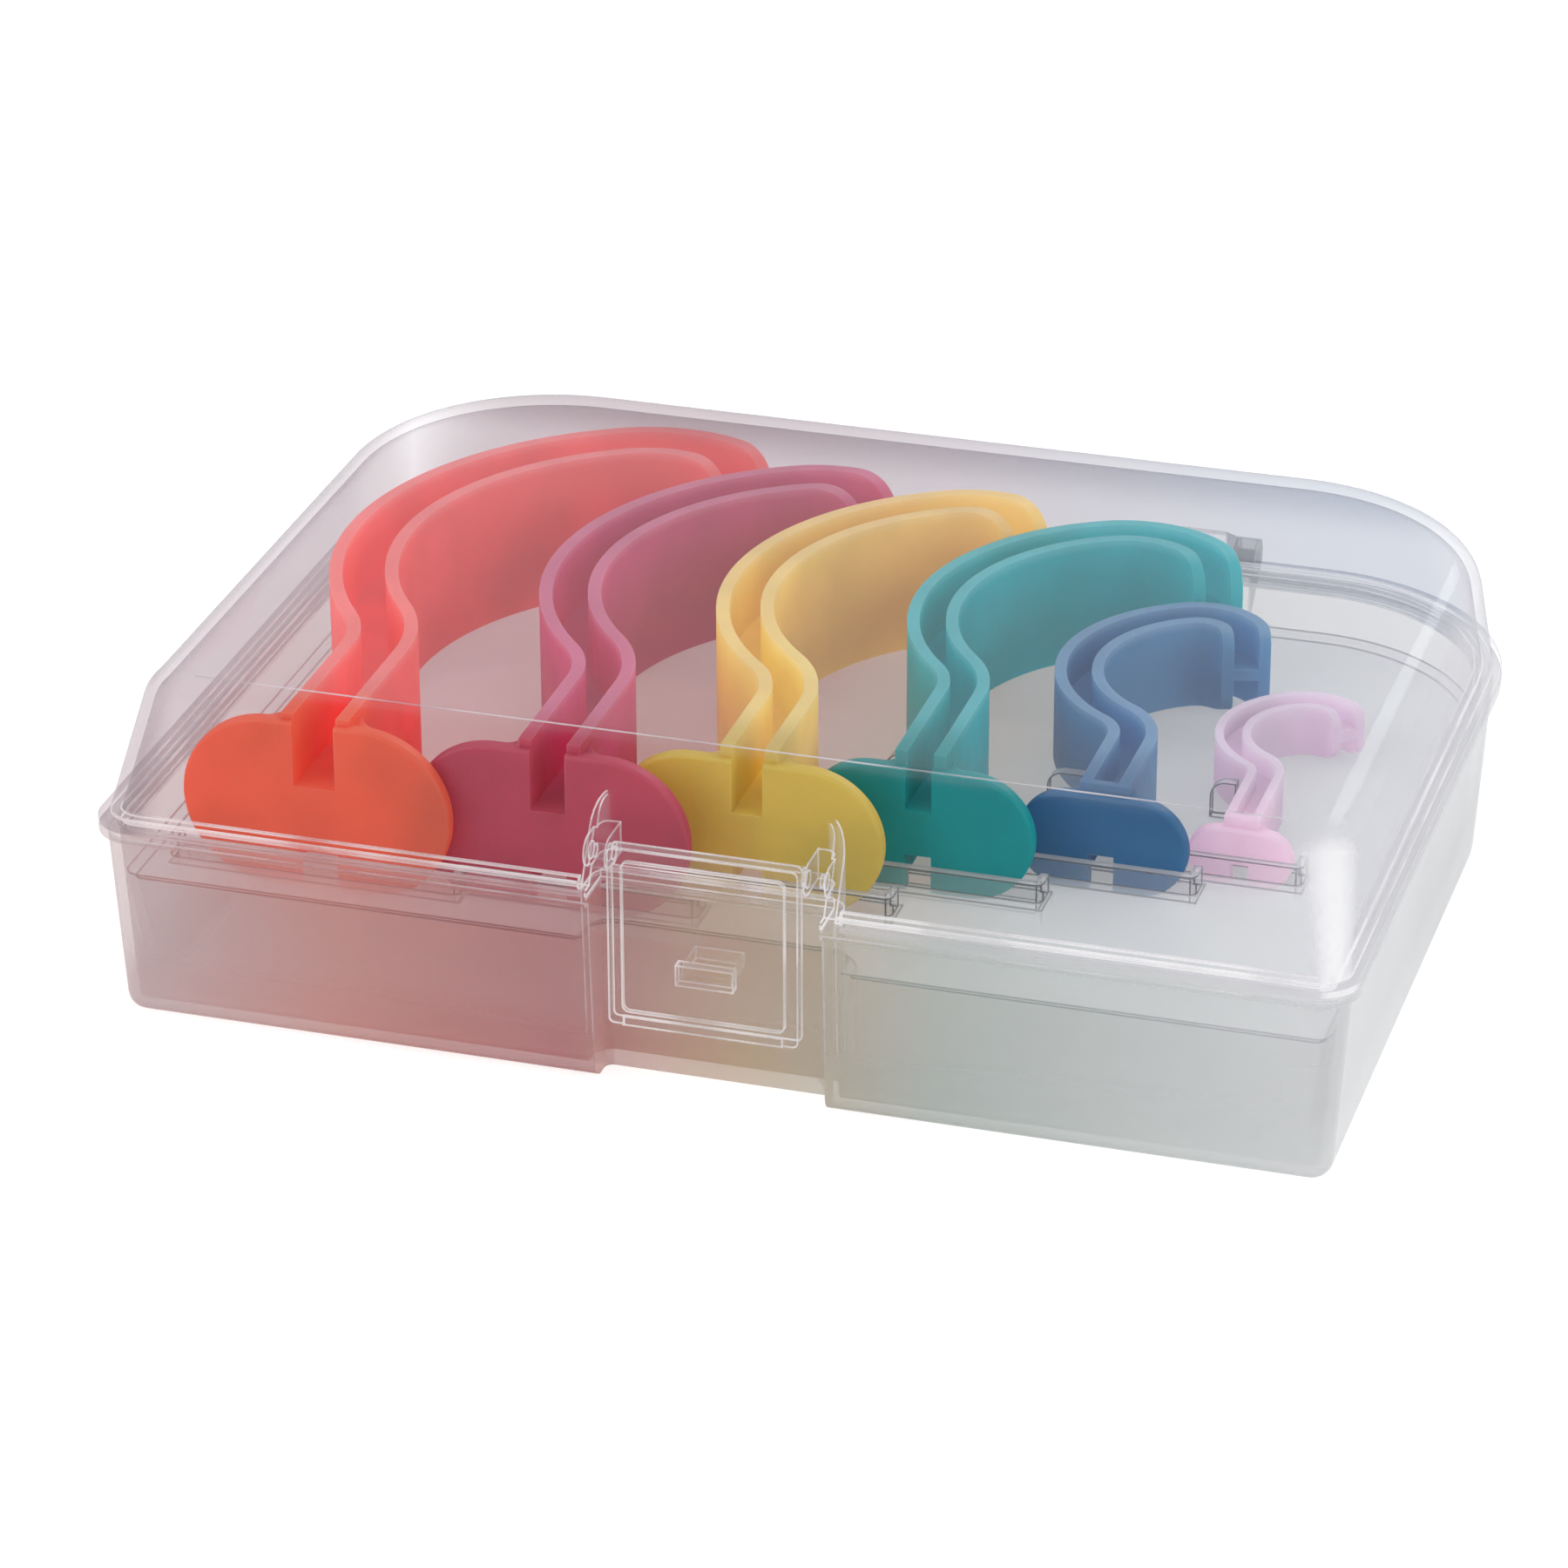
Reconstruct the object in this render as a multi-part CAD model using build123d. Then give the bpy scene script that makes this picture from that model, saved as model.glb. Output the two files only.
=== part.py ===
from build123d import *
import os
from math import acos, cos, degrees, radians, sin
from types import SimpleNamespace

# Hinged clear plastic case with a latch, a raised insert tray and six one-piece
# oropharyngeal airways that stand on edge in the tray, largest on the left.
# Frame: millimetres, +Z up, +X to the right, +Y to the back.  While the case is modelled,
# Y = 0 is the front of the rim; every part is moved at the end so that the origin is the
# middle of the closed case's footprint, on the surface that it stands on.

os.makedirs("parts", exist_ok=True)

# ---------------------------------------------------------------- driving dimensions
# Case
side_room = 9.1                 # from the largest flange to the edge of the rim beside it
back_room = 7.285               # from the largest airway's crown to the edge of the back rim
head_room = 1.8                 # from the largest airway to the inside of the lid
deck_to_parting = 7.1           # from the tray's deck up to the base's top
seam_gap = 0.2                  # between the two rims when the case is shut
wall = 1.5                      # base and lid walls
rim_overhang = 1.1              # how far the rims stand out from the walls
rim_thickness = 1.2             # each rim
rim_edge_radius = 0.35
front_corner_radius = 5.5       # of the rims, seen from above
back_corner_radius = 30.0
base_draft = 1.7                # how far each base wall leans in, from rim to bottom
bottom_edge_radius = 2.6
lid_side_lean = 3.4             # inset of the lid's top on each side and at the back
lid_front_lean = 10.8           # inset of the lid's top at the front
lid_front_corner_radius = 8.5   # at the top of the lid
lid_edge_radius = 5.5           # around the top of the lid
lip_height = 1.4                # lid lip that drops inside the base
lip_thickness = 1.0
lip_clearance = 0.3

# Front recess and latch
recess_width = 31.0
recess_back = 7.5               # outer face of the recess wall, from the front of the rim
recess_corner_radius = 1.2
latch_width = 25.4
latch_bottom = 10.4
latch_top = 35.6
latch_front = 0.7
latch_thickness = 1.6
latch_frame = 2.0               # width of the raised border on the latch's front
latch_frame_rise = 0.6
latch_corner_radius = 0.8
latch_pin_radius = 1.0
latch_pin_drop = 2.2            # pin axis below the latch's top
latch_pin_setback = 0.75        # pin axis behind the latch's front plate
latch_side_gap = 0.35
latch_lug_height = 4.4
pin_clearance = 0.06            # radial, hinge and latch pins in their holes
window_width = 7.4              # slot in the latch that drops over the catch
window_height = 2.6
window_middle = 18.2
catch_clearance = 0.35
grip_lip = 0.9                  # finger lip along the latch's lower edge
grip_lip_height = 1.4

# Rear hinges
hinge_offset = 35.0             # each hinge's middle, from the middle of the case
knuckle_radius = 2.9
knuckle_gap = 0.35              # between the knuckles and everything they pass
lug_width = 9.0                 # lid knuckle
ear_width = 3.2                 # base knuckle, one each side of the lid's
hinge_pin_radius = 1.25
ear_depth = 7.5                 # how far the ears' gussets run down the base wall
gusset_angle = 30.0             # where the ears' gussets meet their knuckles

# Insert tray
deck_height = 20.5              # surface that the airways stand on
tray_wall = 1.2
tray_clearance = 0.3            # around the tray
seat_gap = 0.2                  # under each airway
pocket_clearance = 0.6          # around each flange in its pocket
pocket_lip = 2.6                # clear lip in front of each flange, above the deck
lip_return = 2.4                # how far the lip turns back at its ends
rail_height = 2.6
rail_thickness = 1.2
rail_clearance = 0.5
body_clearance = 0.4            # between a body and the tray's lips, rails and tabs
tab_reach = 6.0                 # longest tab
tab_height = 5.2
tab_thickness = 1.6
tab_corner_radius = 2.2

# Airways.  name: node; x, y: middle and front of the flange; flange: width and height;
# height: width of the bands, which stand on edge; body: across both bands; stem: straight
# bite length behind the flange; lean: how far the body sets over before its arch;
# arch, tip: radii of the arch and of the turned-down tip; sweep: angle of the tip's turn.
flange_thickness = 2.2
flange_drop = 2.0               # flange middle below the bands' middle
band_thickness = 1.8            # at most
band_share = 0.24               # each band's largest share of the body's width
web_thickness = 1.7
arch_sweep = 62.0               # degrees from straight back, before the tip's own radius
bend_share = 0.45               # radius of the lean's first bend, as a share of the arch's
flange_edge_radius = 0.5
root_share = 0.5                # radius of the bands' roots, as a share of the body's width
notch_height = 5.4              # of the notch under the flange's middle
notch_share = 0.4               # and at most this share of the flange's height
open_top_channel = 3.5          # channels at least this wide are open at the flange's top
tip_round_share = 0.3           # roundness of the tip's corners, as a share of the height
tip_round_limit = 0.9           # and at most this share of the radius inside the tip
channel_run_out = 4.0           # degrees that the channel runs on past the tip's end
airway_rows = [
    ("airway_orange_110", -56.4, 11.4, 37.0, 23.8, 21.5, 9.4, 23.4, 12.4, 43.0, 16.5, 70.0),
    ("airway_purple_100", -25.2, 14.0, 38.0, 22.6, 20.9, 8.4, 20.8, 14.1, 38.5, 12.0, 58.0),
    ("airway_yellow_90", -0.6, 21.5, 36.4, 20.6, 20.0, 7.8, 16.5, 14.8, 35.8, 11.0, 62.0),
    ("airway_teal_80", 19.8, 30.7, 31.0, 17.8, 17.8, 6.9, 20.4, 10.6, 30.6, 13.0, 92.0),
    ("airway_blue_60", 42.4, 38.5, 23.0, 13.8, 12.7, 6.6, 15.6, 12.4, 19.4, 6.6, 104.0),
    ("airway_pink_40", 59.4, 45.0, 14.2, 8.2, 7.2, 4.8, 14.6, 7.2, 11.2, 6.4, 80.0),
]
row_names = "name x y flange_width flange_height height body stem lean arch tip sweep".split()
airways = [SimpleNamespace(**dict(zip(row_names, row))) for row in airway_rows]


def lean_angle(airway):
    """Angle of the body's set-over that gives the airway's lean."""
    reach = airway.arch * (1 + bend_share)
    return degrees(acos(1 - airway.lean / reach))


def overall_length(airway):
    """From the front of the flange to the back of the crown."""
    lean_rise = sin(radians(lean_angle(airway)))
    arch_rise = sin(radians(arch_sweep))
    bend = airway.arch * bend_share * lean_rise
    arch = airway.arch * (lean_rise + arch_rise)
    crown = airway.tip * (1 - arch_rise)
    return airway.stem + bend + arch + crown + airway.body / 2


# ---------------------------------------------------------------- derived sizes and places
largest = airways[0]
case_width = 2 * (largest.flange_width / 2 - largest.x + side_room)   # over the rims
case_depth = largest.y + overall_length(largest) + back_room          # over the rims
closed_height = deck_height + seat_gap + largest.height + head_room + wall
parting_height = deck_height + deck_to_parting                        # top of the base
hinge_y = case_depth + knuckle_radius + knuckle_gap
lid_bottom = parting_height + seam_gap
recess_half = recess_width / 2
latch_axis_y = latch_front + latch_thickness + latch_pin_setback
latch_pin_height = latch_top - latch_pin_drop
through = 60.0                  # long enough to cut right through the case
root_overlap = 0.6              # how deep a joined feature runs into its wall


def outline(side, front, back, front_radius, back_radius):
    """Plan shape of the case, inset from the rims by side, front and back."""
    width = case_width - 2 * side
    depth = case_depth - front - back
    face = Pos(0, front + depth / 2) * Rectangle(width, depth)
    face = fillet(face.vertices().group_by(Axis.Y)[0], front_radius)
    return fillet(face.vertices().group_by(Axis.Y)[-1], back_radius)


def even_outline(inset):
    """The rim's plan shape, inset evenly all round."""
    corner = max(front_corner_radius - inset, 1.0)
    return outline(inset, inset, inset, corner, back_corner_radius - inset)


def tapered(lower, lower_z, upper, upper_z):
    """Solid between two plan shapes at two heights."""
    return loft([Pos(0, 0, lower_z) * lower, Pos(0, 0, upper_z) * upper], ruled=True)


def slab(face, bottom, top):
    return Pos(0, 0, bottom) * extrude(face, top - bottom)


def block(x0, x1, y0, y1, z0, z1):
    middle = Pos((x0 + x1) / 2, (y0 + y1) / 2, (z0 + z1) / 2)
    return middle * Box(abs(x1 - x0), abs(y1 - y0), abs(z1 - z0))


def rod(x0, x1, y, z, radius):
    """Round bar along X."""
    return Pos((x0 + x1) / 2, y, z) * Rot(0, 90, 0) * Cylinder(radius, abs(x1 - x0))


def base_inset(height):
    """How far the outside of the base wall is from the rim's edge at a height."""
    return rim_overhang + base_draft * (1 - height / parting_height)


def recess(extra, top):
    """The front recess as a solid, grown by the thickness of its wall."""
    half = recess_half + extra
    depth = recess_back + extra
    face = Pos(0, (depth - through) / 2) * Rectangle(2 * half, depth + through)
    face = fillet(face.vertices().group_by(Axis.Y)[-1], recess_corner_radius + extra)
    return slab(face, -through, top)


def rounded_rim(face, bottom):
    """Rim plate with its outer edges rounded."""
    plate = slab(face, bottom, bottom + rim_thickness)
    edges = plate.edges().filter_by(GeomType.LINE).filter_by(Axis.Z, reverse=True)
    arcs = plate.edges().filter_by(GeomType.CIRCLE)
    return fillet(edges + arcs, rim_edge_radius)


# ---------------------------------------------------------------- base
def make_base():
    bottom_inset = base_inset(0)
    floor_inset = base_inset(wall) + wall
    outside = tapered(even_outline(bottom_inset), 0, even_outline(rim_overhang), parting_height)
    outside = fillet(outside.faces().sort_by(Axis.Z)[0].edges(), bottom_edge_radius)
    rim = rounded_rim(even_outline(0), parting_height - rim_thickness)
    inside = tapered(
        even_outline(floor_inset), wall, even_outline(rim_overhang + wall), parting_height
    )
    inside = fillet(inside.faces().sort_by(Axis.Z)[0].edges(), bottom_edge_radius - wall)
    cavity = inside - recess(wall, through)
    shell = (outside + rim - recess(0, through)) - cavity
    return shell + make_recess_rim(parting_height - rim_thickness) + make_catch() + make_ears()


def make_recess_rim(bottom):
    """Rim strip across the recess, so that the seam is closed behind the latch."""
    return block(-recess_half, recess_half, recess_back - rim_overhang,
                 recess_back + root_overlap, bottom, bottom + rim_thickness)


def make_catch():
    """Wedge on the recess wall that the latch's window snaps over."""
    half = window_width / 2 - catch_clearance
    rise = window_height / 2 - catch_clearance
    tip_y = latch_front + latch_thickness / 2
    back_y = recess_back + root_overlap
    profile = Plane.YZ * Polyline(
        (back_y, window_middle + rise),
        (tip_y + rise, window_middle + rise),
        (tip_y, window_middle),
        (tip_y, window_middle - rise),
        (back_y, window_middle - rise),
        close=True,
    )
    return Pos(-half, 0, 0) * extrude(make_face(profile), 2 * half, dir=(1, 0, 0))


def ear_spans():
    """Left and right ends of the base's four hinge ears."""
    inner = lug_width / 2 + knuckle_gap
    spans = []
    for middle in (-hinge_offset, hinge_offset):
        spans.append((middle - inner - ear_width, middle - inner))
        spans.append((middle + inner, middle + inner + ear_width))
    return spans


def make_ears():
    wall_y = case_depth - rim_overhang
    foot_z = parting_height - ear_depth
    ears = Part()
    for x0, x1 in ear_spans():
        profile = Plane.YZ * Polyline(
            (wall_y - wall, parting_height - rim_thickness),
            (wall_y - wall, foot_z),
            (wall_y, foot_z),
            (hinge_y + knuckle_radius * cos(radians(gusset_angle)),
             parting_height - knuckle_radius * sin(radians(gusset_angle))),
            (hinge_y, parting_height),
            (hinge_y - knuckle_radius, parting_height - rim_thickness),
            close=True,
        )
        ear = Pos(x0, 0, 0) * extrude(make_face(profile), x1 - x0, dir=(1, 0, 0))
        ear += rod(x0, x1, hinge_y, parting_height, knuckle_radius)
        ears += ear
    hole_radius = hinge_pin_radius + pin_clearance
    return ears - rod(-case_width, case_width, hinge_y, parting_height, hole_radius)


# ---------------------------------------------------------------- lid
def lid_shape(inset, top):
    """The lid's outside, or with an inset of one wall its inside, up to a height."""
    rise = (top - lid_bottom) / (closed_height - lid_bottom)
    lower = even_outline(rim_overhang + inset)
    upper = outline(
        rim_overhang + inset + (lid_side_lean - rim_overhang) * rise,
        rim_overhang + inset + (lid_front_lean - rim_overhang) * rise,
        rim_overhang + inset + (lid_side_lean - rim_overhang) * rise,
        lid_front_corner_radius - inset,
        back_corner_radius - inset,
    )
    solid = tapered(lower, lid_bottom, upper, top)
    return fillet(solid.faces().sort_by(Axis.Z)[-1].edges(), lid_edge_radius - inset)


def make_lid():
    outside = lid_shape(0, closed_height)
    inside = lid_shape(wall, closed_height - wall)
    rim = rounded_rim(even_outline(0), lid_bottom)
    cavity = inside - recess(wall, through)
    shell = (outside + rim - recess(0, through)) - cavity
    shell += make_lip() + make_recess_rim(lid_bottom)
    shell -= ear_notches()
    return shell + make_latch_lugs() + make_hinge_lugs()


def make_lip():
    """Ring that drops inside the base, with the step that joins it to the lid's wall."""
    lip_inset = rim_overhang + wall + lip_clearance
    top = lid_bottom + lip_height
    ring = slab(even_outline(lip_inset), lid_bottom - lip_height, top)
    ring += slab(even_outline(rim_overhang + wall / 2), lid_bottom, top)
    ring -= slab(even_outline(lip_inset + lip_thickness), 0, closed_height)
    return ring - recess(wall + lip_clearance, through)


def ear_notches():
    """Room in the lid's rim for the base's ears."""
    notches = Part()
    for x0, x1 in ear_spans():
        notches += rod(x0 - knuckle_gap, x1 + knuckle_gap, hinge_y, parting_height,
                       knuckle_radius + knuckle_gap)
    return notches


def make_hinge_lugs():
    """Lid knuckles with moulded stub pins."""
    wall_y = case_depth - rim_overhang
    reach = lug_width / 2 + knuckle_gap + ear_width
    lugs = Part()
    for middle in (-hinge_offset, hinge_offset):
        x0 = middle - lug_width / 2
        x1 = middle + lug_width / 2
        profile = Plane.YZ * Polyline(
            (wall_y - wall / 2, lid_bottom),
            (hinge_y, lid_bottom),
            (hinge_y + knuckle_radius, parting_height),
            (hinge_y + knuckle_radius * sin(radians(gusset_angle)),
             parting_height + knuckle_radius * cos(radians(gusset_angle))),
            (wall_y - wall / 2, lid_bottom + 2 * knuckle_radius),
            close=True,
        )
        lug = Pos(x0, 0, 0) * extrude(make_face(profile), x1 - x0, dir=(1, 0, 0))
        lug += rod(x0, x1, hinge_y, parting_height, knuckle_radius)
        lug += rod(middle - reach, middle + reach, hinge_y, parting_height, hinge_pin_radius)
        lugs += lug
    return lugs


def make_latch_lugs():
    """Ears on the sides of the lid's recess that carry the latch's stub pins."""
    inner = latch_width / 2 + latch_side_gap
    half_height = latch_lug_height / 2
    lugs = Part()
    for side in (-1, 1):
        x0 = side * inner
        x1 = side * (recess_half + root_overlap)
        lugs += block(x0, x1, latch_axis_y, recess_back + root_overlap,
                      latch_pin_height - half_height, latch_pin_height + half_height)
        lugs += rod(x0, x1, latch_axis_y, latch_pin_height, half_height)
    hole_radius = latch_pin_radius + pin_clearance
    return lugs - rod(-recess_half, recess_half, latch_axis_y, latch_pin_height, hole_radius)


# ---------------------------------------------------------------- latch
def make_latch():
    half = latch_width / 2
    height = latch_top - latch_bottom
    back = latch_front + latch_thickness
    face = Pos(0, (latch_top + latch_bottom) / 2) * RectangleRounded(
        latch_width, height, latch_corner_radius
    )
    frame = face - Pos(0, (latch_top + latch_bottom) / 2) * RectangleRounded(
        latch_width - 2 * latch_frame, height - 2 * latch_frame, latch_corner_radius
    )
    plate = upright(face, latch_front, back)
    plate += upright(frame, latch_front - latch_frame_rise, back)
    plate += block(-half + latch_frame, half - latch_frame,
                   latch_front - grip_lip, latch_front + latch_thickness / 2,
                   latch_bottom, latch_bottom + grip_lip_height)
    plate -= block(-window_width / 2, window_width / 2, -through, through,
                   window_middle - window_height / 2, window_middle + window_height / 2)
    barrel_radius = latch_axis_y - back + latch_thickness / 2
    plate += rod(-half, half, latch_axis_y, latch_pin_height, barrel_radius)
    pin_reach = recess_half - latch_side_gap
    return plate + rod(-pin_reach, pin_reach, latch_axis_y, latch_pin_height, latch_pin_radius)


def upright(face, front, back):
    """Stand a flat shape (drawn in X and height) up, between two depths."""
    turned = Plane(origin=(0, back, 0), x_dir=(1, 0, 0), z_dir=(0, -1, 0)) * face
    return extrude(turned, back - front, dir=(0, -1, 0))


# ---------------------------------------------------------------- airways
def body_curve(airway, side, start, extra=0.0):
    """Curve along the body, beside its middle line by side (positive towards the inner band)."""
    angle = lean_angle(airway)
    stem = Line((side, start), (side, airway.stem))
    bend = JernArc(stem @ 1, (0, 1), airway.arch * bend_share + side, angle)
    arch = JernArc(bend @ 1, bend % 1, airway.arch - side, -(angle + arch_sweep))
    tip = JernArc(arch @ 1, arch % 1, airway.tip - side, -(airway.sweep + extra))
    return [stem, bend, arch, tip]


def body_ribbon(airway, half_width, start, extra=0.0):
    """Flat shape of the body, or of its channel, seen from above."""
    left = body_curve(airway, -half_width, start, extra)
    right = body_curve(airway, half_width, start, extra)
    ends = [Line(left[0] @ 0, right[0] @ 0), Line(left[-1] @ 1, right[-1] @ 1)]
    return make_face(left + right + ends)


def band(airway):
    """Thickness of each of the two bands: thinner on the small airways."""
    return min(band_thickness, band_share * airway.body)


def flange_middle(airway):
    return airway.height / 2 - flange_drop


def make_airway(airway):
    """One airway, standing on edge with its flange's front at the local origin."""
    half = airway.body / 2
    channel_half = half - band(airway)
    inside_start = flange_thickness / 2
    body = slab(body_ribbon(airway, half, inside_start), 0, airway.height)
    tip_middle = (body_curve(airway, 0, inside_start)[-1]) @ 1
    tip_edges = [
        body.edges().sort_by_distance((tip_middle.X, tip_middle.Y, z))[0]
        for z in (0, airway.height)
    ]
    tip_round = min(airway.height * tip_round_share, (airway.tip - half) * tip_round_limit)
    body = fillet(tip_edges, tip_round)
    face = Pos(0, flange_middle(airway)) * SlotOverall(airway.flange_width, airway.flange_height)
    flange = upright(face, 0, flange_thickness)
    rims = flange.faces().sort_by(Axis.Y)
    flange = fillet(rims[0].edges() + rims[-1].edges(), flange_edge_radius)
    solid = body + flange + root_fillets(airway)
    web_bottom = (airway.height - web_thickness) / 2
    web_top = web_bottom + web_thickness
    front = -flange_thickness
    top_start = front if 2 * channel_half > open_top_channel else flange_thickness
    top_channel = body_ribbon(airway, channel_half, top_start, channel_run_out)
    low_channel = body_ribbon(airway, channel_half, flange_thickness, channel_run_out)
    solid -= slab(top_channel, web_top, through)
    solid -= slab(low_channel, -through, web_bottom)
    notch = min(notch_height, notch_share * airway.flange_height)
    return solid - block(-channel_half, channel_half, front, inside_start + flange_thickness,
                         -through, flange_low(airway) + notch)


def flange_low(airway):
    return flange_middle(airway) - airway.flange_height / 2


def root(airway):
    return root_share * airway.body


def root_fillets(airway):
    """Curved roots where the bands' sides meet the back of the flange."""
    half = airway.body / 2
    root_radius = root(airway)
    low = max(flange_low(airway) + flange_edge_radius, 0)
    top = flange_middle(airway) + airway.flange_height / 2 - flange_edge_radius
    roots = Part()
    for side in (-1, 1):
        x0 = side * (half - band(airway) / 2)
        x1 = side * (half + root_radius)
        y1 = flange_thickness + root_radius
        corner = block(x0, x1, flange_thickness / 2, y1, low, top)
        hollow = Pos(x1, y1, (low + top) / 2) * Cylinder(root_radius, top - low)
        roots += corner - hollow
    return roots


def place(airway):
    """Where an airway stands in the case."""
    return Pos(airway.x, airway.y, deck_height + seat_gap)


# ---------------------------------------------------------------- insert tray
def tray_outline(height, extra):
    return even_outline(base_inset(height) + wall + tray_clearance + extra)


def make_tray():
    low = wall + seat_gap
    outside = tapered(tray_outline(low, bottom_edge_radius / 2), low,
                      tray_outline(deck_height, 0), deck_height)
    under = deck_height - tray_wall
    inside = tapered(tray_outline(low, bottom_edge_radius / 2 + tray_wall), low,
                     tray_outline(under, tray_wall), under)
    space = recess(wall + tray_clearance, through)
    skin = recess(wall + tray_clearance + tray_wall, through)
    tray = (outside - space) - (inside - skin)
    for airway in airways:
        tray += pocket(airway, tray_wall)
        tray += lip(airway)
        tray += rail(airway)
        tray += tab(airway)
    for airway in airways:
        tray -= pocket(airway, 0)
        tray -= body_room(airway)
    return tray


def pocket(airway, extra):
    """Pocket in the deck for one flange, or with an extra the cup around it."""
    half = airway.flange_width / 2 + pocket_clearance + extra
    floor = deck_height + seat_gap + flange_low(airway)
    top = deck_height if extra else through
    y0 = airway.y - pocket_clearance - extra
    y1 = airway.y + flange_thickness + pocket_clearance + extra
    return block(airway.x - half, airway.x + half, y0, y1, floor - seat_gap - extra, top)


def lip(airway):
    """Raised clear lip along the front of a pocket, turned back at its ends."""
    half = airway.flange_width / 2 + pocket_clearance + tray_wall
    y0 = airway.y - pocket_clearance - tray_wall
    wall_block = block(airway.x - half, airway.x + half, y0, y0 + tray_wall + lip_return,
                       deck_height - tray_wall / 2, deck_height + pocket_lip)
    upright_edges = wall_block.edges().filter_by(Axis.Z).group_by(Axis.Y)[0]
    return fillet(upright_edges, tray_wall)


def body_room(airway):
    """Space over the deck that one airway's body stands in."""
    ribbon = body_ribbon(airway, airway.body / 2 + body_clearance, 0, channel_run_out)
    return Pos(airway.x, airway.y, 0) * slab(ribbon, deck_height, through)


def rail(airway):
    """Low rail beside the stem, on the side of the outer band."""
    x1 = airway.x - airway.body / 2 - rail_clearance
    y0 = airway.y + flange_thickness + root(airway) + pocket_clearance
    y1 = airway.y + airway.stem
    return block(x1 - rail_thickness, x1, y0, y1, deck_height - tray_wall / 2,
                 deck_height + rail_height)


def tab(airway):
    """Upright tab with a rounded corner that stops the body from swinging left."""
    beside = body_curve(airway, -airway.body / 2 - rail_clearance, 0)[1] @ 1
    x1 = airway.x + beside.X
    y0 = airway.y + beside.Y
    low = deck_height - tray_wall / 2
    length = min(tab_reach, airway.lean / 2)
    face = Pos(x1 - length / 2, (low + deck_height + tab_height) / 2) * Rectangle(
        length, deck_height + tab_height - low
    )
    free_corner = face.vertices().group_by(Axis.X)[0].sort_by(Axis.Y)[-1]
    face = fillet(free_corner, tab_corner_radius)
    return upright(face, y0 - tab_thickness, y0)


# ---------------------------------------------------------------- write the parts
def write(node, solid):
    placed = Pos(0, -case_depth / 2, 0) * solid
    export_step(placed, f"parts/{node}.step")


write("case_base", make_base())
write("case_lid", make_lid())
write("latch", make_latch())
write("insert_tray", make_tray())
for airway in airways:
    write(airway.name, place(airway) * make_airway(airway))
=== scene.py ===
"""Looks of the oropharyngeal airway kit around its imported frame.  Metres, +Z up, -Y the latch side."""
import math

import bmesh
import bpy
from mathutils import Matrix, Vector


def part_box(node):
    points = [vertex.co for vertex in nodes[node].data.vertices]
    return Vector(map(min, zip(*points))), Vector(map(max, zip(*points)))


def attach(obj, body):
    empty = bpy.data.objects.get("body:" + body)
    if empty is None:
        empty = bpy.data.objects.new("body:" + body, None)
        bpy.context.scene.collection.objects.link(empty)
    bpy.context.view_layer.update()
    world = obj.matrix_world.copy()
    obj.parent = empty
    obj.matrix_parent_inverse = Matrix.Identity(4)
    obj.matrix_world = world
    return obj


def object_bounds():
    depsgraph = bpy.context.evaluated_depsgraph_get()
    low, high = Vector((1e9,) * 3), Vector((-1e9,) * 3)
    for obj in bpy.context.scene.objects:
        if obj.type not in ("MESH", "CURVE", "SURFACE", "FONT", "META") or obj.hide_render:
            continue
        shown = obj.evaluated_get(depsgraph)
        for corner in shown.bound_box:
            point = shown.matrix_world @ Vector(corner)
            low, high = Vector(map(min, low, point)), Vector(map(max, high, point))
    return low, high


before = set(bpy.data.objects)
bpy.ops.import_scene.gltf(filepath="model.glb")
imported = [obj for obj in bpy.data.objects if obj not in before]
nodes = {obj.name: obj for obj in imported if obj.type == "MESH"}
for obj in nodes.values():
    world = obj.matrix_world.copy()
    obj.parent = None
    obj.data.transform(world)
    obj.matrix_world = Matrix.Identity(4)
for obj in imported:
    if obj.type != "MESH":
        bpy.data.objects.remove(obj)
cad_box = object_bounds()
scene = bpy.context.scene
MM = 0.001
WHITE = (1, 1, 1, 1)
half_width = cad_box[1][0]      # of the case, over its rims


# ------------------------------------------------------------------ material helpers
def colour(red, green, blue):
    """sRGB 0-255 to a linear colour."""
    def linear(value):
        value /= 255
        return value / 12.92 if value <= 0.04045 else ((value + 0.055) / 1.055) ** 2.4
    return (linear(red), linear(green), linear(blue), 1.0)


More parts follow.
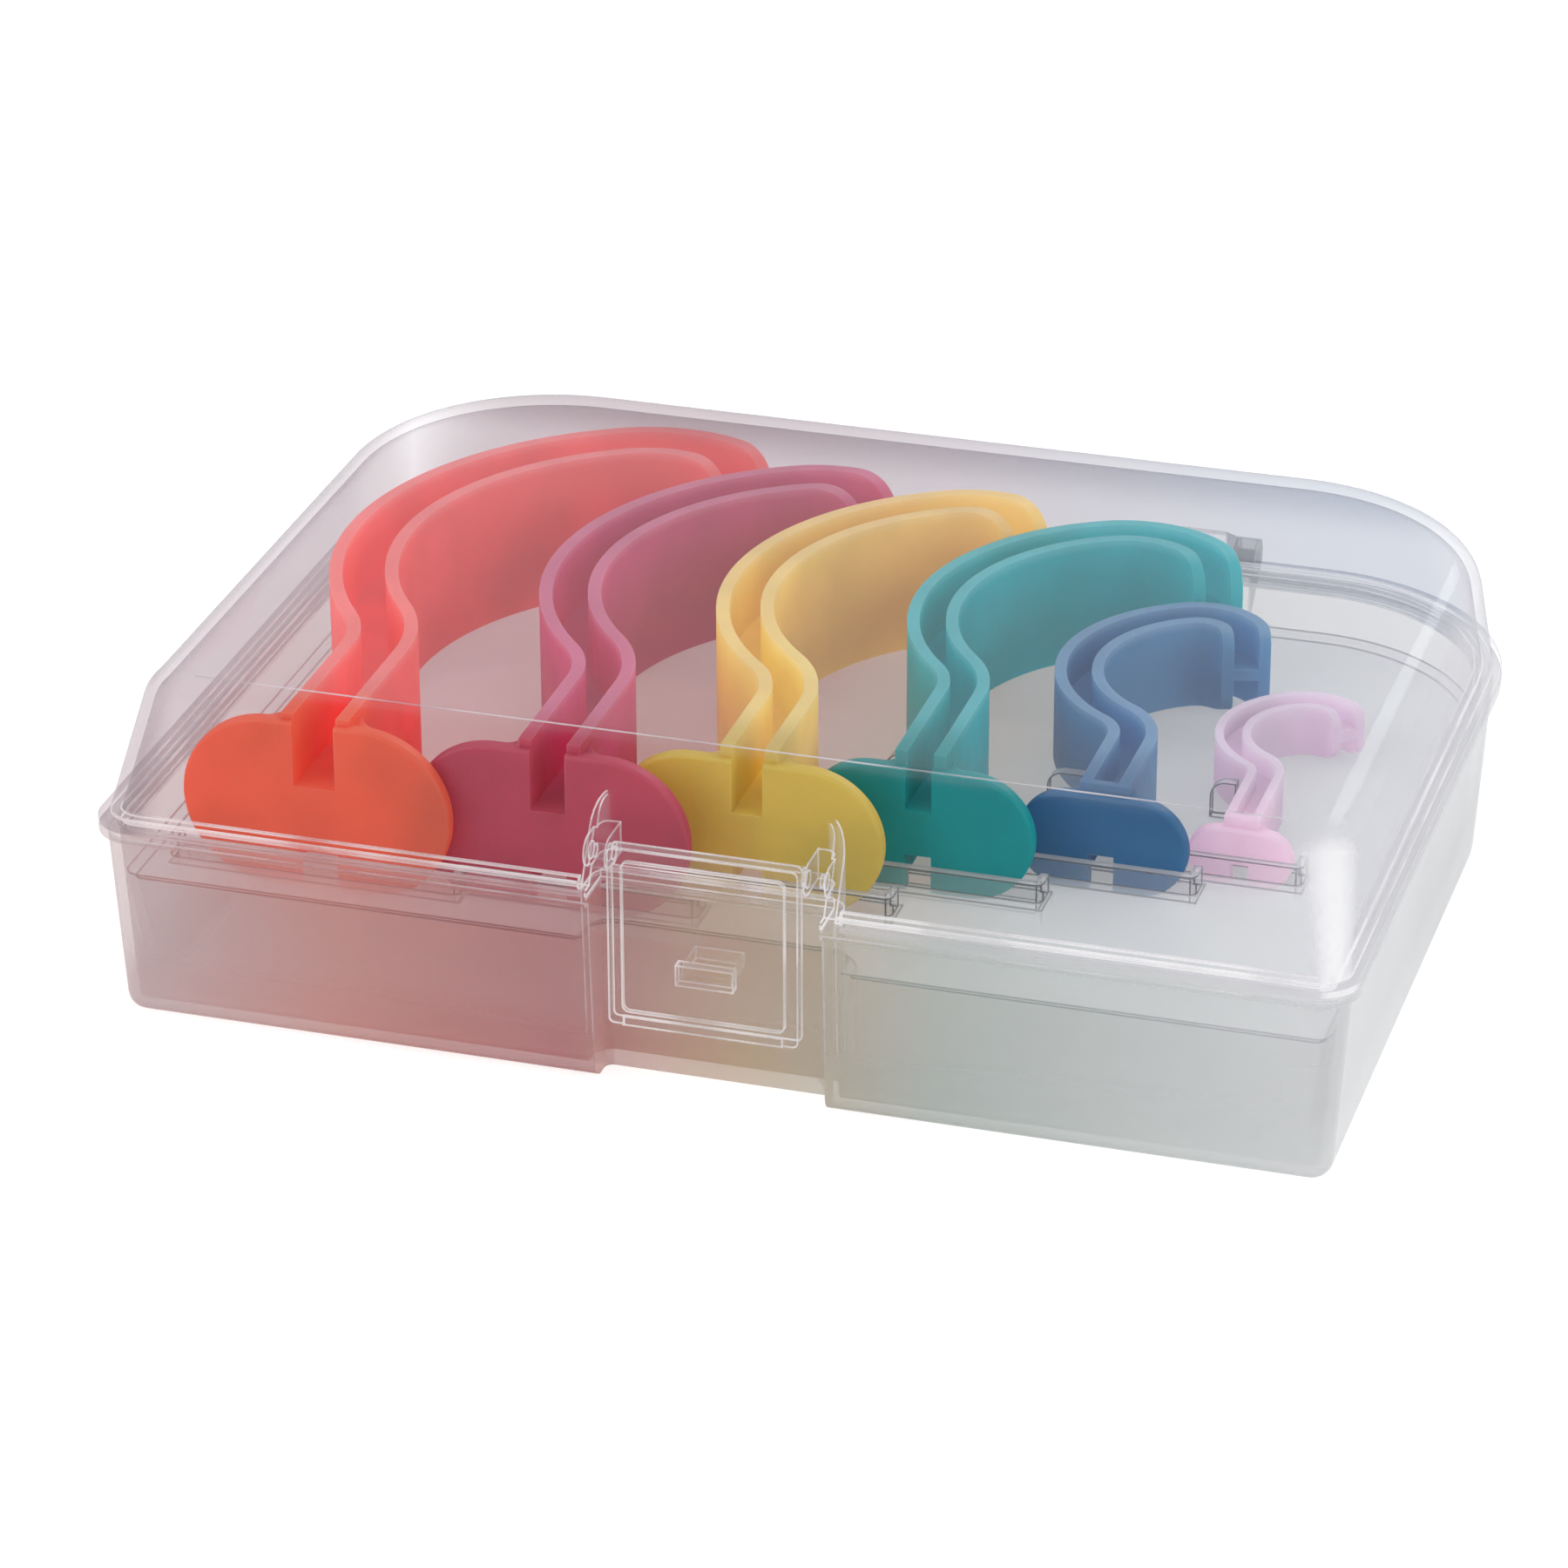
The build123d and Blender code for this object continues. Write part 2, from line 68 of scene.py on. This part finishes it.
class Nodes:
    """A material's node tree, with short calls for the nodes that this scene uses."""

    def __init__(self, name, slot_colour):
        self.material = bpy.data.materials.new(name)
        self.material.use_nodes = True
        self.material.diffuse_color = slot_colour
        self.tree = self.material.node_tree
        self.tree.nodes.clear()
        self.output = self.tree.nodes.new("ShaderNodeOutputMaterial")

    def add(self, kind, links=None, **settings):
        node = self.tree.nodes.new("ShaderNode" + kind)
        for key, value in settings.items():
            setattr(node, key, value)
        for socket, value in (links or {}).items():
            self.set(node.inputs[socket], value)
        return node

    def set(self, socket, value):
        if isinstance(value, bpy.types.NodeSocket):
            self.tree.links.new(value, socket)
        else:
            socket.default_value = value

    def math(self, operation, *values):
        node = self.add("Math", operation=operation)
        for socket, value in zip(node.inputs, values):
            self.set(socket, value)
        return node.outputs[0]

    def mix(self, factor, a, b):
        node = self.add("Mix", data_type="RGBA")
        self.set(node.inputs["Factor"], factor)
        self.set(node.inputs["A"], a)
        self.set(node.inputs["B"], b)
        return node.outputs["Result"]

    def blend(self, factor, a, b):
        node = self.add("MixShader")
        self.set(node.inputs[0], factor)
        self.set(node.inputs[1], a.outputs[0])
        self.set(node.inputs[2], b.outputs[0])
        return node

    def split(self, coordinate):
        """X, Y and Z of the Object point or of the Normal."""
        vector = self.add("TexCoord").outputs[coordinate]
        return self.add("SeparateXYZ", {"Vector": vector}).outputs

    def noise(self, scale, detail):
        point = self.add("TexCoord").outputs["Object"]
        node = self.add("TexNoise", {"Vector": point, "Scale": scale, "Detail": detail})
        return node.outputs["Fac"]

    def ramp(self, factor, low, high, low_value=0.0, high_value=1.0):
        """Smooth step from low_value at low to high_value at high."""
        node = self.add("MapRange", {"Value": factor, "From Min": low, "From Max": high,
                                     "To Min": low_value, "To Max": high_value},
                        interpolation_type="SMOOTHSTEP")
        return node.outputs["Result"]

    def mottle(self, scale, detail, low_value, high_value):
        """Noise that wanders between two values."""
        return self.ramp(self.noise(scale, detail), 0.3, 0.7, low_value, high_value)

    def bump(self, height, strength, distance):
        node = self.add("Bump", {"Height": height, "Strength": strength, "Distance": distance})
        return node.outputs["Normal"]

    def lighting_ray(self):
        """1 for a ray that brings light to a surface, 0 for one that is seen."""
        path = self.add("LightPath").outputs
        return self.math("MAXIMUM", path["Is Shadow Ray"], path["Is Diffuse Ray"])

    def scatter(self, paint):
        """Light scattered back and through, in equal parts."""
        return self.blend(0.5, self.add("BsdfDiffuse", {"Color": paint}),
                          self.add("BsdfTranslucent", {"Color": paint}))

    def across_case(self, stops):
        """Colour along the case's width, from (place, sRGB) stops: 0 is the left side, 1 the right."""
        place = self.add("MapRange", {"Value": self.split("Object")["X"],
                                      "From Min": -half_width, "From Max": half_width})
        node = self.add("ValToRGB", {"Fac": place.outputs["Result"]})
        elements = node.color_ramp.elements
        for index, (position, paint) in enumerate(stops):
            stop = elements[index] if index < 2 else elements.new(position)
            stop.position = position
            stop.color = colour(*paint)
        return node.outputs["Color"]

    def finish(self, shader):
        self.tree.links.new(shader.outputs[0], self.output.inputs["Surface"])
        return self.material


# ------------------------------------------------------------------ clear plastic
OUTLINE_TINT = (0.42, 0.43, 0.47, 1)   # of light that runs along a wall
OUTLINE_POWER = 7.0             # how fast that tint comes in towards the outline
HAZE_POWER = 4.0                # how fast the haze thickens towards the outline
GLOSS_POWER = 5.0               # Schlick's
SQUARE_ON_GLOSS = 0.008         # share of light mirrored by a surface seen square on
LIGHT_LET_THROUGH = 0.3         # haze that light meets on its way in, as a share of what is seen
CORNER_HIGHLIGHT_PAINT = (0.94, 0.935, 0.93, 1)  # of the painted highlight in the front corners' haze
LEFT_WALL_SHADE_SHARE = 0.65          # of the rear tint's painted shade, in the left wall
# Painted light: colours of the light that the airways throw on the case and tray, across its width.
PAINTED_AIRWAY_LIGHT = ((0.0, (205, 190, 190)), (0.2, (215, 150, 140)), (0.38, (196, 118, 122)),
             (0.52, (205, 178, 140)), (0.68, (190, 200, 192)), (1.0, (222, 224, 224)))


def corner_highlight_mask(n, point, normal):
    """Painted highlight's mask: 1 in the front right corner's round, little in the left one's,
    and 0 elsewhere.
    """
    both_ways = n.math("ABSOLUTE", n.math("MULTIPLY", normal["X"], normal["Y"]))
    in_front = n.ramp(point["Y"], -52 * MM, -30 * MM, 1.0, 0.0)
    corner = n.math("MULTIPLY", n.ramp(both_ways, 0.0, 0.46), in_front)
    return n.math("MULTIPLY", corner, n.ramp(point["X"], 0.0, 70 * MM, 0.12, 1.0))


def tint_with_rear_shade(n, point, tint, rear_shade_tint):
    """The plastic's tint, darker in its rear and left walls: painted shade on what is seen through them.
    """
    rear = n.ramp(point["Y"], 38 * MM, 56 * MM)
    left = n.ramp(point["X"], -80 * MM, -74 * MM, LEFT_WALL_SHADE_SHARE, 0.0)
    across = n.ramp(point["X"], -40 * MM, 70 * MM)
    return n.mix(n.math("MAXIMUM", rear, left), tint, n.mix(across, *rear_shade_tint))


def clear_plastic(name, *, haze, edge_haze, haze_colour, tint, rear_shade_tint, roughness, ripple,
                  gloss, airway_light_share=0.0, low_haze=0.0, corner_highlight_haze=0.0, wall_haze=1.0):
    """Thin moulded plastic.  haze is the share of each surface that scatters light when it is
    seen square on, and edge_haze the share when it is seen along the surface.  tint is what
    each surface lets through, and rear_shade_tint (left, right) a darker one at the case's back,
    painted shade on what is seen through it.  ripple is the scale, strength and depth of its
    unevenness, and gloss the share of its reflections that is kept.  stain is how much painted
    light in the airways' colours goes into the haze.  low_haze is the haze that it gains where
    it is thicker, towards the bottom, and corner_highlight_haze a painted highlight of haze in the front
    corners.  wall_haze is the share of its haze that upright walls have."""
    n = Nodes(name, (*haze_colour[:3], 0.4))
    point, normal = n.split("Object"), n.split("Normal")
    scale, strength, depth = ripple
    uneven = n.bump(n.noise(scale, 1.0), strength, depth)
    facing = n.add("LayerWeight", {"Blend": 0.5, "Normal": uneven}).outputs["Facing"]
    lighting = n.lighting_ray()

    share = n.math("MULTIPLY_ADD", n.math("POWER", facing, HAZE_POWER), edge_haze - haze, haze)
    share = n.math("MULTIPLY", share, n.mottle(30.0, 1.0, 0.9, 1.1))
    # Painted light: the airways' colours mixed into the haze colour along the case's width.
    paint = n.mix(airway_light_share, haze_colour, n.across_case(PAINTED_AIRWAY_LIGHT)) if airway_light_share else haze_colour
    if wall_haze < 1:
        level = n.math("ABSOLUTE", normal["Z"])
        share = n.math("MULTIPLY", share, n.ramp(level, 0.1, 0.9, wall_haze, 1.0))
    if low_haze:
        share = n.math("ADD", share, n.ramp(point["Z"], 1 * MM, 12 * MM, low_haze, 0.0))
    # Painted highlight: more haze, in a paler colour, in the front corners, most in the right one.
    if corner_highlight_haze:
        corner = corner_highlight_mask(n, point, normal)
        share = n.math("MULTIPLY_ADD", corner, corner_highlight_haze, share)
        paint = n.mix(corner, paint, CORNER_HIGHLIGHT_PAINT)
    share = n.math("MULTIPLY", share, n.math("MULTIPLY_ADD", lighting, LIGHT_LET_THROUGH - 1, 1.0))

    seen_tint = n.mix(n.math("POWER", facing, OUTLINE_POWER),
                      tint_with_rear_shade(n, point, tint, rear_shade_tint), OUTLINE_TINT)
    clear = n.add("BsdfTransparent", {"Color": n.mix(lighting, seen_tint, WHITE)})
    mirror = n.add("BsdfGlossy", {"Color": WHITE, "Roughness": roughness, "Normal": uneven})
    mirrored = n.math("MULTIPLY_ADD", n.math("POWER", facing, GLOSS_POWER), gloss,
                      SQUARE_ON_GLOSS * gloss)
    mirrored = n.math("MULTIPLY", mirrored, n.math("SUBTRACT", 1.0, lighting))
    return n.finish(n.blend(mirrored, n.blend(share, clear, n.scatter(paint)), mirror))


# Painted shade: darker tints, left and right, for what is seen through the case's rear walls.
REAR_SHADE_CLEAR = ((0.74, 0.695, 0.71, 1), (0.77, 0.795, 0.83, 1))
REAR_SHADE_MILKY = ((0.92, 0.91, 0.91, 1), (0.92, 0.92, 0.93, 1))
finishes = {
    "case_base": clear_plastic(
        "base_frosted", haze=0.30, edge_haze=0.8, haze_colour=colour(182, 181, 180),
        tint=(0.94, 0.935, 0.935, 1), rear_shade_tint=REAR_SHADE_MILKY, roughness=0.35,
        ripple=(600.0, 0.03, 0.0001), gloss=0.5, airway_light_share=0.75, low_haze=0.4),
    "case_lid": clear_plastic(
        "lid_clear", haze=0.004, edge_haze=0.36, haze_colour=colour(220, 218, 222),
        tint=(0.975, 0.97, 0.975, 1), rear_shade_tint=REAR_SHADE_CLEAR, roughness=0.06,
        ripple=(55.0, 0.05, 0.0004), gloss=0.35, corner_highlight_haze=0.75),
    "latch": clear_plastic(
        "latch_clear", haze=0.05, edge_haze=0.5, haze_colour=colour(222, 214, 212),
        tint=(0.97, 0.965, 0.965, 1), rear_shade_tint=REAR_SHADE_MILKY, roughness=0.12,
        ripple=(120.0, 0.03, 0.0002), gloss=0.6),
    "insert_tray": clear_plastic(
        "tray_milky", haze=0.34, edge_haze=0.8, haze_colour=colour(242, 243, 244),
        tint=(0.97, 0.97, 0.97, 1), rear_shade_tint=REAR_SHADE_MILKY, roughness=0.25,
        ripple=(200.0, 0.03, 0.0001), gloss=0.5, airway_light_share=0.28, wall_haze=0.35),
}


# ------------------------------------------------------------------ coloured airways
SHADOW_LET_THROUGH = 0.9        # share of a lamp's light that passes a surface of an airway
SKY_LET_THROUGH = 0.7           # the same, of the light from all round
TOP_EDGE = 1.6 * MM             # how far down the light along a band's top edge reaches
TOP_EDGE_LIGHT = 0.12           # how far it lightens the colour
airway_colours = {              # flange, body and tip, as sRGB
    "airway_orange_110": ((232, 118, 90), (248, 120, 112), (240, 128, 126)),
    "airway_purple_100": ((196, 88, 110), (216, 98, 144), (210, 104, 142)),
    "airway_yellow_90": ((216, 194, 98), (250, 226, 132), (246, 216, 134)),
    "airway_teal_80": ((0, 160, 162), (0, 190, 196), (14, 192, 198)),
    "airway_blue_60": ((66, 124, 166), (88, 150, 190), (102, 158, 194)),
    "airway_pink_40": ((246, 222, 236), (230, 214, 228), (232, 214, 228)),
}


def airway_plastic(name, flange, body, tip, front, top):
    """Coloured polyethylene: deeper in the flange, lighter and cooler along the body, and
    lighter along the bands' top edges, where light shows through.  front and top are the
    airway's front and its height."""
    n = Nodes(name, body)
    point = n.split("Object")
    along = n.ramp(point["Y"], front + 1.5 * MM, front + 16 * MM)
    far = n.ramp(point["Y"], front + 30 * MM, front + 90 * MM)
    paint = n.mix(far, n.mix(along, flange, body), tip)
    edge = n.ramp(point["Z"], top - TOP_EDGE, top, 0.0, TOP_EDGE_LIGHT)
    paint = n.mix(n.math("MULTIPLY", edge, along), paint, WHITE)
    paint = n.add("HueSaturation", {"Value": n.mottle(90.0, 2.0, 0.94, 1.06), "Color": paint})
    paint = paint.outputs[0]
    surface = n.add("BsdfPrincipled", {
        "Base Color": paint,
        "Roughness": n.mottle(420.0, 1.0, 0.34, 0.46),
        "Normal": n.bump(n.noise(1900.0, 1.0), 0.12, 0.0002),
        "Subsurface Weight": 0.4,
        "Subsurface Radius": (1.0, 0.7, 0.6),
        "Subsurface Scale": 0.003,
        "Specular IOR Level": 0.35,
    })
    glow = n.add("BsdfTranslucent", {"Color": paint})
    path = n.add("LightPath").outputs
    lit_through = n.math("MAXIMUM", n.math("MULTIPLY", path["Is Shadow Ray"], SHADOW_LET_THROUGH),
                         n.math("MULTIPLY", path["Is Diffuse Ray"], SKY_LET_THROUGH))
    through = n.add("BsdfTransparent", {"Color": paint})
    return n.finish(n.blend(lit_through, n.blend(0.5, surface, glow), through))


for name, paints in airway_colours.items():
    low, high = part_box(name)
    finishes[name] = airway_plastic(name.replace("airway", "plastic"),
                                    *(colour(*paint) for paint in paints), low.y, high.z)
for name, material in finishes.items():
    mesh = nodes[name].data
    mesh.materials.clear()
    mesh.materials.append(material)


# ------------------------------------------------------------------ light caught by the edges
EDGE_RADIUS = 0.13 * MM         # of the rods of light
EDGE_DEPTH = 1.2 * EDGE_RADIUS  # of their middles, inside the plastic
EDGE_GLOSS = 0.06               # share of light that they mirror
SHARP = math.radians(35)        # least turn of the surface that catches light
SHORTEST_EDGE = 0.05 * MM
SAME_POINT = 0.001 * MM
TRAY_SHADE = ((0.0, (222, 120, 96)), (0.30, (180, 80, 100)), (0.48, (190, 160, 96)),
              (0.58, (60, 130, 130)), (0.74, (60, 84, 110)), (0.9, (190, 186, 196)))


def airway_shade(n):
    """Tint of the tray's edges: each lies against one airway and takes its colour."""
    return n.across_case(TRAY_SHADE)


def edge_plastic(name, opacity, paint, tint):
    """Plastic along a moulded edge, where the light that runs in the wall comes out.  tint is a
    colour, or a call that makes one from the material's nodes."""
    n = Nodes(name, (0.9, 0.9, 0.9, 0.6))
    tint = tint(n) if callable(tint) else tint
    lighting = n.lighting_ray()
    seen = n.math("SUBTRACT", 1.0, lighting)
    broken = n.ramp(n.noise(70.0, 2.0), 0.32, 0.62, 0.35 * opacity, opacity)
    clear = n.add("BsdfTransparent", {"Color": n.mix(lighting, tint, WHITE)})
    lit = n.blend(n.math("MULTIPLY", broken, seen), clear, n.scatter(paint))
    glint = n.add("BsdfGlossy", {"Roughness": n.mottle(300.0, 3.0, 0.08, 0.2)})
    return n.finish(n.blend(n.math("MULTIPLY", seen, EDGE_GLOSS), lit, glint))


def rods(name, lines, material, body):
    """One piece of thin square rods, one along each (start, end, side) line."""
    mesh = bmesh.new()
    for start, end, side in lines:
        along = (end - start).normalized()
        side = (side - side.dot(along) * along).normalized()
        other = along.cross(side)
        rings = []
        for point in (start, end):
            rings.append([mesh.verts.new(point + EDGE_RADIUS * (side * u + other * v))
                          for u, v in ((1, 0), (0, 1), (-1, 0), (0, -1))])
        for k in range(4):
            mesh.faces.new((rings[0][k], rings[0][k - 3], rings[1][k - 3], rings[1][k]))
        mesh.faces.new(rings[0][::-1])
        mesh.faces.new(rings[1])
    bmesh.ops.recalc_face_normals(mesh, faces=mesh.faces)
    data = bpy.data.meshes.new(name)
    mesh.to_mesh(data)
    mesh.free()
    data.materials.append(material)
    piece = bpy.data.objects.new(name, data)
    scene.collection.objects.link(piece)
    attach(piece, body)


def sharp_edges(node, above=-math.inf):
    """Lines just inside a node's sharp edges, those higher than above: start, end and the
    direction into the plastic."""
    mesh = bmesh.new()
    mesh.from_mesh(nodes[node].data)
    bmesh.ops.remove_doubles(mesh, verts=mesh.verts, dist=SAME_POINT)
    lines = []
    for edge in mesh.edges:
        if edge.calc_face_angle(0.0) < SHARP or edge.calc_length() < SHORTEST_EDGE:
            continue
        inward = -(edge.link_faces[0].normal + edge.link_faces[1].normal).normalized()
        start, end = (vertex.co + EDGE_DEPTH * inward for vertex in edge.verts)
        if (start + end).z / 2 > above:
            lines.append((start, end, inward))
    mesh.free()
    return lines


def lid_crease():
    """The line of light behind the rounded front edge of the lid's top."""
    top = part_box("case_lid")[1].z
    points = [vertex.co for vertex in nodes["case_lid"].data.vertices]
    flat = [point for point in points if point.z > top - 0.02 * MM]
    front = min(point.y for point in flat)
    row = [point.x for point in flat if point.y < front + 0.05 * MM]
    ends = [Vector((x, front, top - 0.2 * MM)) for x in (min(row), max(row))]
    return [(ends[0], ends[1], Vector((0, 0, -1)))]


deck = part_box("airway_pink_40")[0].z
bright = edge_plastic("edge_bright", 0.55, colour(250, 247, 246), (0.95, 0.95, 0.95, 1))
soft = edge_plastic("edge_soft", 0.42, colour(236, 234, 236), (0.88, 0.87, 0.88, 1))
shade = edge_plastic("edge_shade", 0.15, colour(200, 200, 206), airway_shade)
rods("latch_edges", sharp_edges("latch"), bright, "latch")
rods("lid_edges", sharp_edges("case_lid"), bright, "lid")
rods("lid_crease", lid_crease(), soft, "lid")
rods("base_edges", sharp_edges("case_base", above=4 * MM), soft, "base")
rods("tray_edges", sharp_edges("insert_tray", above=deck), shade, "base")


# ------------------------------------------------------------------ camera
YAW = 0.294096                  # radians, about +Z
PITCH = 0.461054                # down
ROLL = -0.002641
LENS = 141.939                  # in millimetres, on the sensor below
SENSOR = 36.0
FRONT_POINT = Vector((0, -62 * MM, 0))  # the middle of the case's front, on the floor
SEEN_AT = Vector((-10.37504 * MM, 41.54918 * MM, 794.61076 * MM))  # right, down and ahead


def place_camera():
    """Put the camera where it sees FRONT_POINT at SEEN_AT."""
    turn = Matrix(((math.cos(YAW), math.sin(YAW), 0), (-math.sin(YAW), math.cos(YAW), 0),
                   (0, 0, 1)))
    tip = Matrix(((1, 0, 0), (0, -math.sin(PITCH), -math.cos(PITCH)),
                  (0, math.cos(PITCH), -math.sin(PITCH))))
    roll = Matrix(((math.cos(ROLL), -math.sin(ROLL), 0), (math.sin(ROLL), math.cos(ROLL), 0),
                   (0, 0, 1)))
    view = roll @ tip @ turn
    right, down, ahead = view
    data = bpy.data.cameras.new("camera")
    data.sensor_width = SENSOR
    data.lens = LENS
    data.clip_end = 20
    camera = bpy.data.objects.new("camera", data)
    place = FRONT_POINT - view.transposed() @ SEEN_AT
    axes = Matrix((right, -down, -ahead)).transposed()
    camera.matrix_world = Matrix.Translation(place) @ axes.to_4x4()
    scene.collection.objects.link(camera)
    scene.camera = camera


place_camera()


# ------------------------------------------------------------------ stage and light
FLOOR_HALF = 6.0                # metres
FLOOR_PAINT = (0.56, 0.55, 0.53, 1)
FLOOR_GLOW = 0.52               # seen and mirrored only: it makes the floor white
SKY = (0.93, 0.95, 1.0, 1)
CASE_MIDDLE = Vector((0, 0, 0.02))


def stage_floor():
    half = FLOOR_HALF
    mesh = bpy.data.meshes.new("floor")
    mesh.from_pydata([(-half, -half, 0), (half, -half, 0), (half, half, 0), (-half, half, 0)],
                     [], [(0, 1, 2, 3)])
    floor = bpy.data.objects.new("floor", mesh)
    scene.collection.objects.link(floor)
    n = Nodes("floor_white", WHITE)
    diffuse = n.add("BsdfDiffuse", {"Color": FLOOR_PAINT})
    glow = n.add("Emission", {"Color": WHITE, "Strength": FLOOR_GLOW})
    both = n.add("AddShader")
    n.set(both.inputs[0], diffuse.outputs[0])
    n.set(both.inputs[1], glow.outputs[0])
    path = n.add("LightPath").outputs
    mirrored = n.math("MAXIMUM", path["Is Glossy Ray"], path["Is Transmission Ray"])
    seen = n.math("MAXIMUM", path["Is Camera Ray"], mirrored)
    mesh.materials.append(n.finish(n.blend(seen, diffuse, both)))


def light_world():
    """Pale light from all round, seen by the camera as plain white."""
    world = bpy.data.worlds.new("studio")
    scene.world = world
    world.use_nodes = True
    tree = world.node_tree
    light = tree.nodes["Background"]
    light.inputs["Color"].default_value = SKY
    light.inputs["Strength"].default_value = 1.0
    white = tree.nodes.new("ShaderNodeBackground")
    white.inputs["Color"].default_value = WHITE
    white.inputs["Strength"].default_value = 1.0
    path = tree.nodes.new("ShaderNodeLightPath")
    mix = tree.nodes.new("ShaderNodeMixShader")
    tree.links.new(path.outputs["Is Camera Ray"], mix.inputs[0])
    tree.links.new(light.outputs[0], mix.inputs[1])
    tree.links.new(white.outputs[0], mix.inputs[2])
    tree.links.new(mix.outputs[0], tree.nodes["World Output"].inputs["Surface"])


def lamp(name, place, size, power, tint):
    """A square lamp, aimed at the middle of the case."""
    data = bpy.data.lights.new(name, "AREA")
    data.size = size
    data.energy = power
    data.color = tint
    light = bpy.data.objects.new(name, data)
    light.location = place
    light.rotation_euler = (CASE_MIDDLE - Vector(place)).to_track_quat("-Z", "Y").to_euler()
    scene.collection.objects.link(light)


stage_floor()
light_world()
lamp("key", (0.86, -0.22, 0.52), size=0.5, power=3.0, tint=(1.0, 0.99, 0.98))
lamp("back", (0.35, 0.9, 0.7), size=0.6, power=3.0, tint=(0.94, 0.97, 1.0))
lamp("fill", (-0.8, -0.75, 0.55), size=0.7, power=5.0, tint=(1.0, 0.975, 0.96))

scene.view_settings.view_transform = "Standard"
scene.cycles.transparent_max_bounces = 24
scene.cycles.max_bounces = 7
